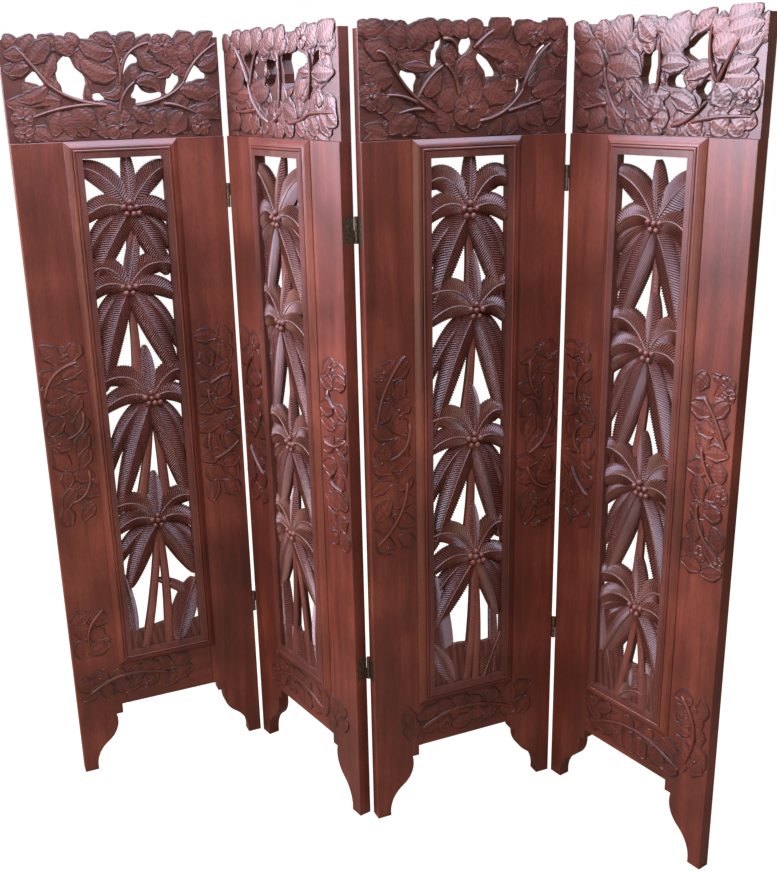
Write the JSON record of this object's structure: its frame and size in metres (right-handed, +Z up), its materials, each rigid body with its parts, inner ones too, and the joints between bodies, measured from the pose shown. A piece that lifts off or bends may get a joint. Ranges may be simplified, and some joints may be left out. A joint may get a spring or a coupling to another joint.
{
  "type": "folding screen",
  "caption": "Free-standing folding screen of hinged carved-wood panels with pierced palm-tree boards, raised mouldings and a pierced leaf-and-flower crest.",
  "frame": {"origin": "on the floor, at the middle of the zigzag's length and depth", "axes": "X along the screen from its left end to its right end seen from the front, Y from front to back, Z up"},
  "size_m": [1.5916, 0.3254, 1.8288],
  "materials": {
    "carved_wood": "reddish-brown stained hardwood under a satin lacquer, hand-carved",
    "hinge_brass": "aged dark brass, dull"
  },
  "bodies": {
    "panel_1": {"panel_1_left_stile": "carved_wood", "panel_1_right_stile": "carved_wood", "panel_1_crest_rail": "carved_wood", "panel_1_bottom_rail": "carved_wood", "panel_1_palm_board": "carved_wood", "panel_1_left_moulding": "carved_wood", "panel_1_right_moulding": "carved_wood", "panel_1_top_moulding": "carved_wood", "panel_1_bottom_moulding": "carved_wood", "hinge_12_lower_left_plate": "hinge_brass", "hinge_12_lower_pin": "hinge_brass", "hinge_12_upper_left_plate": "hinge_brass", "hinge_12_upper_pin": "hinge_brass"},
    "panel_2": {"panel_2_left_stile": "carved_wood", "panel_2_right_stile": "carved_wood", "panel_2_crest_rail": "carved_wood", "panel_2_bottom_rail": "carved_wood", "panel_2_palm_board": "carved_wood", "panel_2_left_moulding": "carved_wood", "panel_2_right_moulding": "carved_wood", "panel_2_top_moulding": "carved_wood", "panel_2_bottom_moulding": "carved_wood", "hinge_12_lower_right_plate": "hinge_brass", "hinge_12_upper_right_plate": "hinge_brass", "hinge_23_lower_left_plate": "hinge_brass", "hinge_23_lower_pin": "hinge_brass", "hinge_23_upper_left_plate": "hinge_brass", "hinge_23_upper_pin": "hinge_brass"},
    "panel_3": {"panel_3_left_stile": "carved_wood", "panel_3_right_stile": "carved_wood", "panel_3_crest_rail": "carved_wood", "panel_3_bottom_rail": "carved_wood", "panel_3_palm_board": "carved_wood", "panel_3_left_moulding": "carved_wood", "panel_3_right_moulding": "carved_wood", "panel_3_top_moulding": "carved_wood", "panel_3_bottom_moulding": "carved_wood", "hinge_23_lower_right_plate": "hinge_brass", "hinge_23_upper_right_plate": "hinge_brass", "hinge_34_lower_left_plate": "hinge_brass", "hinge_34_lower_pin": "hinge_brass", "hinge_34_upper_left_plate": "hinge_brass", "hinge_34_upper_pin": "hinge_brass"},
    "panel_4": {"panel_4_left_stile": "carved_wood", "panel_4_right_stile": "carved_wood", "panel_4_crest_rail": "carved_wood", "panel_4_bottom_rail": "carved_wood", "panel_4_palm_board": "carved_wood", "panel_4_left_moulding": "carved_wood", "panel_4_right_moulding": "carved_wood", "panel_4_top_moulding": "carved_wood", "panel_4_bottom_moulding": "carved_wood", "hinge_34_lower_right_plate": "hinge_brass", "hinge_34_upper_right_plate": "hinge_brass"}
  },
  "joints": [
    {"name": "fold_1_2", "type": "hinge", "parent": "panel_2", "child": "panel_1", "pos_m": [-0.39991, 0.13683, 0.9], "axis": [0, 0, 1], "range_deg": [-78, 94]},
    {"name": "fold_2_3", "type": "hinge", "parent": "panel_2", "child": "panel_3", "pos_m": [0, -0.13683, 0.9], "axis": [0, 0, 1], "range_deg": [-78, 102]},
    {"name": "fold_3_4", "type": "hinge", "parent": "panel_3", "child": "panel_4", "pos_m": [0.39991, 0.13683, 0.9], "axis": [0, 0, 1], "range_deg": [-94, 78]}
  ]
}
